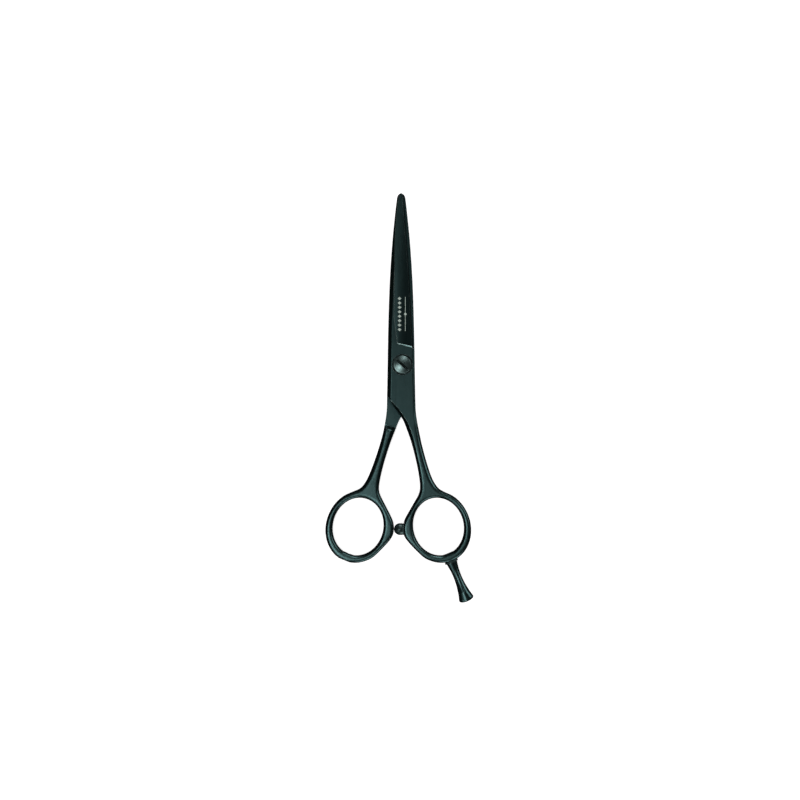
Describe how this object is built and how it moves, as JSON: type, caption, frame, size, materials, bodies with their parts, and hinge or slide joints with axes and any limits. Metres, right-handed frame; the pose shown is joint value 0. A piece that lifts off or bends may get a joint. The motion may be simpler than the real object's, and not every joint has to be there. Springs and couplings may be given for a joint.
{
  "type": "hair cutting shears",
  "caption": "Straight-bladed hair cutting shears with a slotted tension screw, a rubber stop between the finger rings and a screwed-in finger rest.",
  "frame": {"origin": "on the pivot axis, in the plane of the back face that the closed shears lie on", "axes": "+Y from the pivot to the blade tips; +Z along the pivot axis, out of the screw's slotted head; +X to the finger ring's side"},
  "size_m": [0.0562, 0.1549, 0.0053],
  "materials": {
    "coated_steel": "black coating over finely brushed steel, satin, dark green-grey where it catches light",
    "polished_steel": "black-nickel polished steel, smooth",
    "nylon": "matte black nylon",
    "rubber": "smooth black rubber with a soft sheen"
  },
  "bodies": {
    "thumb_half": {"rear_blade": "coated_steel", "rear_handle": "coated_steel"},
    "finger_half": {"front_blade": "coated_steel", "front_handle": "coated_steel", "pivot_bush": "nylon", "bumper": "rubber", "bumper_stud": "polished_steel", "finger_rest": "coated_steel", "finger_rest_collar": "nylon", "finger_rest_stud": "polished_steel"},
    "tension_screw": {"pivot_screw": "polished_steel"}
  },
  "joints": [
    {"name": "pivot", "type": "hinge", "parent": "thumb_half", "child": "finger_half", "pos_m": [0, 0, 0.0023], "axis": [0, 0, 1], "range_deg": [0, 140]},
    {"name": "tension", "type": "hinge", "parent": "thumb_half", "child": "tension_screw", "pos_m": [0, 0, 0.0023], "axis": [0, 0, 1], "range_deg": [-90, 90]}
  ]
}
